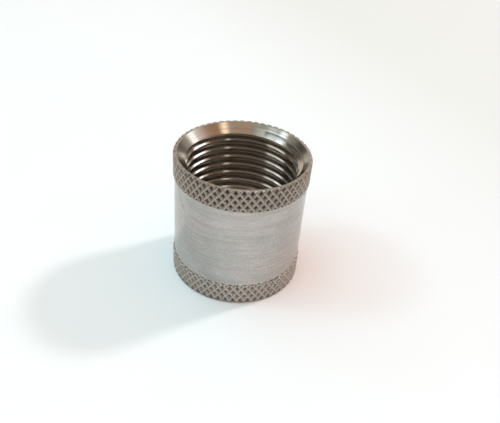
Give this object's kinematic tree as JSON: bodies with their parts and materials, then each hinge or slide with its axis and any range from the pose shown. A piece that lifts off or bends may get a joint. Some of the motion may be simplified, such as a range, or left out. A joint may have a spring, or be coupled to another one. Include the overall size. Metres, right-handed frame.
{
  "type": "pipe coupling",
  "caption": "Straight round pipe coupling with an internal thread from end to end, a plain barrel and a diamond-knurled band around each end.",
  "frame": {"origin": "centre of the lower end face, on the axis of the bore", "axes": "+Z along the bore towards the upper end face; +X and +Y across it, with the thread phase fixed to +X"},
  "size_m": [0.0272, 0.0272, 0.0275],
  "materials": {
    "thread_steel": "bright turned and threaded steel, darkened by oil in the roots",
    "satin_steel": "satin, with very fine turning lines",
    "knurl_steel": "rolled diamond knurl, dull in the pits and burnished on the ridges"
  },
  "bodies": {
    "root": {"threaded_liner": "thread_steel", "barrel_sleeve": "satin_steel", "upper_knurled_ring": "knurl_steel", "lower_knurled_ring": "knurl_steel"}
  },
  "joints": []
}
